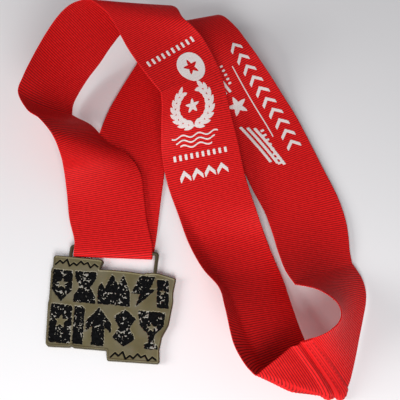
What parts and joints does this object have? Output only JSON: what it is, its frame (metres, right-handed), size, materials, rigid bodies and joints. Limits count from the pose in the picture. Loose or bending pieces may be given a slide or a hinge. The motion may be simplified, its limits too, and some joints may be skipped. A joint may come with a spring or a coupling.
{
  "type": "finisher medal on neck ribbon",
  "caption": "Cast finisher medal with raised rim and dark enamelled motifs, hung by a bar on a wide looped red grosgrain neck ribbon.",
  "frame": {"origin": "middle of the casting's flat back face", "axes": "+Z out of the medal's front face, +Y from the casting towards its ribbon bar, X along the bar"},
  "size_m": [0.1728, 0.1944, 0.0431],
  "materials": {
    "bronze": "antique bronze plating over zinc casting, satin with darker recesses",
    "enamel": "glossy black soft enamel, worn through in specks",
    "ribbon": "red polyester grosgrain with ribs across the width, printed in white",
    "thread": "red polyester sewing thread"
  },
  "bodies": {
    "ribbon": {"ribbon_bar_loop": "ribbon", "ribbon_leg_a": "ribbon", "ribbon_left_lobe": "ribbon", "ribbon_top_fold": "ribbon", "ribbon_strip_a_upper": "ribbon", "ribbon_strip_a_lower": "ribbon", "ribbon_bottom_fold": "ribbon", "ribbon_right_lobe": "ribbon", "ribbon_strip_b": "ribbon", "ribbon_back_curl": "ribbon", "ribbon_leg_b": "ribbon", "ribbon_end_lap": "ribbon", "seam_thread_1": "thread", "seam_thread_2": "thread"},
    "medal": {"medal_casting": "bronze", "ribbon_bar": "bronze", "enamel_top_1": "enamel", "enamel_top_2": "enamel", "enamel_top_3": "enamel", "enamel_top_4": "enamel", "enamel_side": "enamel", "enamel_low_1": "enamel", "enamel_low_2": "enamel", "enamel_low_3": "enamel", "enamel_low_4": "enamel", "enamel_low_5": "enamel", "enamel_tab_upper": "enamel", "enamel_tab_lower": "enamel"}
  },
  "joints": [
    {"name": "medal_swing", "type": "hinge", "parent": "ribbon", "child": "medal", "pos_m": [0, 0.0283, 0.0018], "axis": [-1, 0, 0], "range_deg": [-105, 105]}
  ]
}
